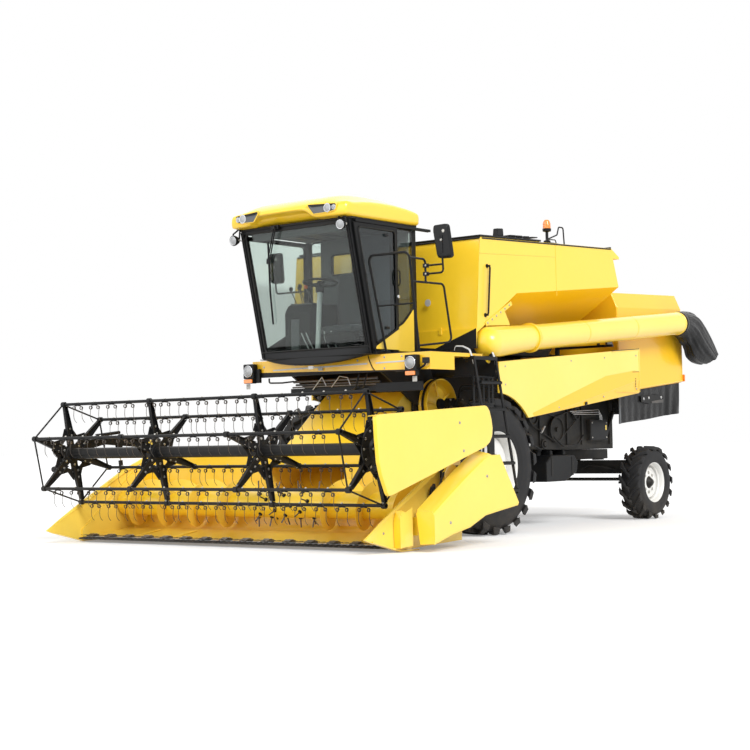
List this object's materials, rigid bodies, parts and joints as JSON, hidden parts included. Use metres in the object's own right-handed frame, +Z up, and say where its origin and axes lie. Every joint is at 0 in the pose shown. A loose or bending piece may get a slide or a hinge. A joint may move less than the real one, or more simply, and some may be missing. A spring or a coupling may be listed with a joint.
{
  "type": "combine harvester",
  "caption": "Self-propelled combine harvester with grain header, tined reel, glazed cab, grain tank and swinging unloading auger; wheels, steering, header, reel, door and panels move.",
  "frame": {"origin": "on the ground under the middle of the machine's overall length and width, 125 mm to the right of the body's own middle plane", "axes": "+Y to the rear along the machine, -Y forwards, +X to the machine's own left, +Z up"},
  "size_m": [5.142, 9, 3.8299],
  "materials": {
    "yellow_paint": "gloss",
    "black_paint": "satin",
    "rim_white": "satin",
    "tyre": "matte",
    "rubber": "matte",
    "tinted_glass": "gloss",
    "dark_plastic": "matte",
    "seat_fabric": "matte",
    "blade_steel": "satin",
    "chrome_rod": "polished"
  },
  "bodies": {
    "chassis": {"auger_elbow": "yellow_paint", "cab_controls": "dark_plastic", "cab_frame": "black_paint", "cab_glass": "tinted_glass", "cab_roof": "yellow_paint", "cab_side_right": "yellow_paint", "chassis_frame": "black_paint", "drive_pulley": "yellow_paint", "engine": "black_paint", "front_axle": "black_paint", "fuel_tanks": "black_paint", "grain_tank": "yellow_paint", "handrails": "black_paint", "ladder": "black_paint", "lamps": "dark_plastic", "mirrors": "dark_plastic", "platform": "yellow_paint", "rear_axle": "black_paint", "rear_curtain": "rubber", "seat": "seat_fabric", "straw_hood": "yellow_paint", "threshing_body": "black_paint"},
    "front_wheel_left": {"front_tyre_left": "tyre", "front_rim_left": "rim_white"},
    "rear_wheel_left": {"rear_tyre_left": "tyre", "rear_rim_left": "rim_white"},
    "rear_knuckle_left": {"rear_knuckle_left": "black_paint"},
    "side_panel_left": {"side_panel_left": "yellow_paint"},
    "tank_cover_left": {"tank_cover_left": "yellow_paint"},
    "front_wheel_right": {"front_tyre_right": "tyre", "front_rim_right": "rim_white"},
    "rear_wheel_right": {"rear_tyre_right": "tyre", "rear_rim_right": "rim_white"},
    "rear_knuckle_right": {"rear_knuckle_right": "black_paint"},
    "side_panel_right": {"side_panel_right": "yellow_paint"},
    "tank_cover_right": {"tank_cover_right": "yellow_paint"},
    "tie_rod": {"tie_rod": "black_paint"},
    "cab_door": {"cab_door": "yellow_paint", "door_glass": "tinted_glass"},
    "unloading_auger": {"unloading_tube": "yellow_paint", "spout_sock": "rubber"},
    "header": {"feeder_house": "yellow_paint", "header_pan": "yellow_paint", "header_shields": "yellow_paint"},
    "knife": {"knife": "blade_steel"},
    "header_auger": {"header_auger": "yellow_paint"},
    "reel_arms": {"reel_arms": "black_paint", "reel_shield": "yellow_paint"},
    "reel": {"reel": "black_paint"},
    "tine_bar_1": {"tine_bar_1": "black_paint"},
    "tine_bar_2": {"tine_bar_2": "black_paint"},
    "tine_bar_3": {"tine_bar_3": "black_paint"},
    "tine_bar_4": {"tine_bar_4": "black_paint"},
    "tine_bar_5": {"tine_bar_5": "black_paint"},
    "tine_bar_6": {"tine_bar_6": "black_paint"},
    "lift_barrels": {"lift_barrels": "black_paint"},
    "lift_rods": {"lift_rods": "chrome_rod"},
    "reel_lift_barrels": {"reel_lift_barrels": "black_paint"},
    "reel_lift_rods": {"reel_lift_rods": "chrome_rod"}
  },
  "joints": [
    {"name": "front_wheel_left_spin", "type": "hinge", "parent": "chassis", "child": "front_wheel_left", "pos_m": [1.329, -0.97, 0.7825], "axis": [1, 0, 0], "continuous": true},
    {"name": "rear_steer_left", "type": "hinge", "parent": "chassis", "child": "rear_knuckle_left", "pos_m": [1.085, 2.765, 0.6], "axis": [0, 0, 1], "range_deg": [-30, 30]},
    {"name": "rear_wheel_left_spin", "type": "hinge", "parent": "rear_knuckle_left", "child": "rear_wheel_left", "pos_m": [1.345, 2.765, 0.4825], "axis": [1, 0, 0], "continuous": true},
    {"name": "front_wheel_right_spin", "type": "hinge", "parent": "chassis", "child": "front_wheel_right", "pos_m": [-1.079, -0.97, 0.7825], "axis": [1, 0, 0], "continuous": true},
    {"name": "rear_steer_right", "type": "hinge", "parent": "chassis", "child": "rear_knuckle_right", "pos_m": [-0.835, 2.765, 0.6], "axis": [0, 0, 1], "range_deg": [-30, 30]},
    {"name": "rear_wheel_right_spin", "type": "hinge", "parent": "rear_knuckle_right", "child": "rear_wheel_right", "pos_m": [-1.095, 2.765, 0.4825], "axis": [1, 0, 0], "continuous": true},
    {"name": "tie_rod_shift", "type": "slide", "parent": "chassis", "child": "tie_rod", "axis": [1, 0, 0], "range_m": [-0.1064, 0.1064]},
    {"name": "side_panel_left_hinge", "type": "hinge", "parent": "chassis", "child": "side_panel_left", "pos_m": [1.515, -0.937, 1.979], "axis": [0, -0.997, -0.0777], "range_deg": [0, 75]},
    {"name": "side_panel_right_hinge", "type": "hinge", "parent": "chassis", "child": "side_panel_right", "pos_m": [-1.265, -0.937, 1.979], "axis": [0, 0.997, 0.0777], "range_deg": [0, 75]},
    {"name": "tank_cover_left_hinge", "type": "hinge", "parent": "chassis", "child": "tank_cover_left", "pos_m": [1.495, -1.191, 3.403], "axis": [0, 0.9994, 0.0359], "range_deg": [0, 100]},
    {"name": "tank_cover_right_hinge", "type": "hinge", "parent": "chassis", "child": "tank_cover_right", "pos_m": [-1.245, -1.191, 3.403], "axis": [0, -0.9994, -0.0359], "range_deg": [0, 100]},
    {"name": "cab_door_slide", "type": "slide", "parent": "chassis", "child": "cab_door", "axis": [0, 1, 0], "range_m": [0, 0.62]},
    {"name": "unloading_auger_swing", "type": "hinge", "parent": "chassis", "child": "unloading_auger", "pos_m": [1.525, -1.1, 2.19], "axis": [0, 0, -1], "range_deg": [0, 100]},
    {"name": "header_lift", "type": "hinge", "parent": "chassis", "child": "header", "pos_m": [0.125, -1.45, 1.48], "axis": [-1, 0, 0], "range_deg": [0, 28]},
    {"name": "header_auger_spin", "type": "hinge", "parent": "header", "child": "header_auger", "pos_m": [0.125, -3.02, 0.43], "axis": [1, 0, 0], "continuous": true},
    {"name": "knife_stroke", "type": "slide", "parent": "header", "child": "knife", "axis": [1, 0, 0], "range_m": [-0.038, 0.038]},
    {"name": "reel_lift", "type": "hinge", "parent": "header", "child": "reel_arms", "pos_m": [2.207, -2.61, 1.12], "axis": [-1, 0, 0], "range_deg": [-3, 22]},
    {"name": "reel_spin", "type": "hinge", "parent": "reel_arms", "child": "reel", "pos_m": [0.125, -3.895, 1.023], "axis": [-1, 0, 0], "continuous": true},
    {"name": "tine_bar_1_turn", "type": "hinge", "parent": "reel", "child": "tine_bar_1", "pos_m": [0.125, -4.01924, 1.58339], "axis": [-1, 0, 0], "continuous": true},
    {"name": "tine_bar_2_turn", "type": "hinge", "parent": "reel", "child": "tine_bar_2", "pos_m": [0.125, -4.44243, 1.19561], "axis": [-1, 0, 0], "continuous": true},
    {"name": "tine_bar_3_turn", "type": "hinge", "parent": "reel", "child": "tine_bar_3", "pos_m": [0.125, -4.3182, 0.63521], "axis": [-1, 0, 0], "continuous": true},
    {"name": "tine_bar_4_turn", "type": "hinge", "parent": "reel", "child": "tine_bar_4", "pos_m": [0.125, -3.77076, 0.46261], "axis": [-1, 0, 0], "continuous": true},
    {"name": "tine_bar_5_turn", "type": "hinge", "parent": "reel", "child": "tine_bar_5", "pos_m": [0.125, -3.34757, 0.85039], "axis": [-1, 0, 0], "continuous": true},
    {"name": "tine_bar_6_turn", "type": "hinge", "parent": "reel", "child": "tine_bar_6", "pos_m": [0.125, -3.4718, 1.41079], "axis": [-1, 0, 0], "continuous": true},
    {"name": "lift_barrels_turn", "type": "hinge", "parent": "chassis", "child": "lift_barrels", "pos_m": [0.125, -1.145, 0.535], "axis": [-1, 0, 0], "range_deg": [-1, 21.55]},
    {"name": "lift_rods_slide", "type": "slide", "parent": "lift_barrels", "child": "lift_rods", "axis": [0, -0.9978, -0.0662], "range_m": [-0.002, 0.45]},
    {"name": "reel_lift_barrels_turn", "type": "hinge", "parent": "header", "child": "reel_lift_barrels", "pos_m": [0.125, -2.97, 0.64], "axis": [-1, 0, 0], "range_deg": [-1.39, 3.86]},
    {"name": "reel_lift_rods_slide", "type": "slide", "parent": "reel_lift_barrels", "child": "reel_lift_rods", "axis": [0, -0.1366, 0.9906], "range_m": [-0.0238, 0.1616]}
  ],
  "couplings": [
    {"joint": "rear_steer_right", "follows": "rear_steer_left", "ratio": 1},
    {"joint": "tie_rod_shift", "follows": "rear_steer_left", "m_per_rad": 0.19},
    {"joint": "tine_bar_1_turn", "follows": "reel_spin", "ratio": -1},
    {"joint": "tine_bar_2_turn", "follows": "reel_spin", "ratio": -1},
    {"joint": "tine_bar_3_turn", "follows": "reel_spin", "ratio": -1},
    {"joint": "tine_bar_4_turn", "follows": "reel_spin", "ratio": -1},
    {"joint": "tine_bar_5_turn", "follows": "reel_spin", "ratio": -1},
    {"joint": "tine_bar_6_turn", "follows": "reel_spin", "ratio": -1},
    {"joint": "lift_barrels_turn", "follows": "header_lift", "ratio": 0.7338},
    {"joint": "lift_rods_slide", "follows": "header_lift", "m_per_rad": 0.9168},
    {"joint": "reel_lift_barrels_turn", "follows": "reel_lift", "ratio": 0.1301},
    {"joint": "reel_lift_rods_slide", "follows": "reel_lift", "m_per_rad": 0.4156}
  ]
}
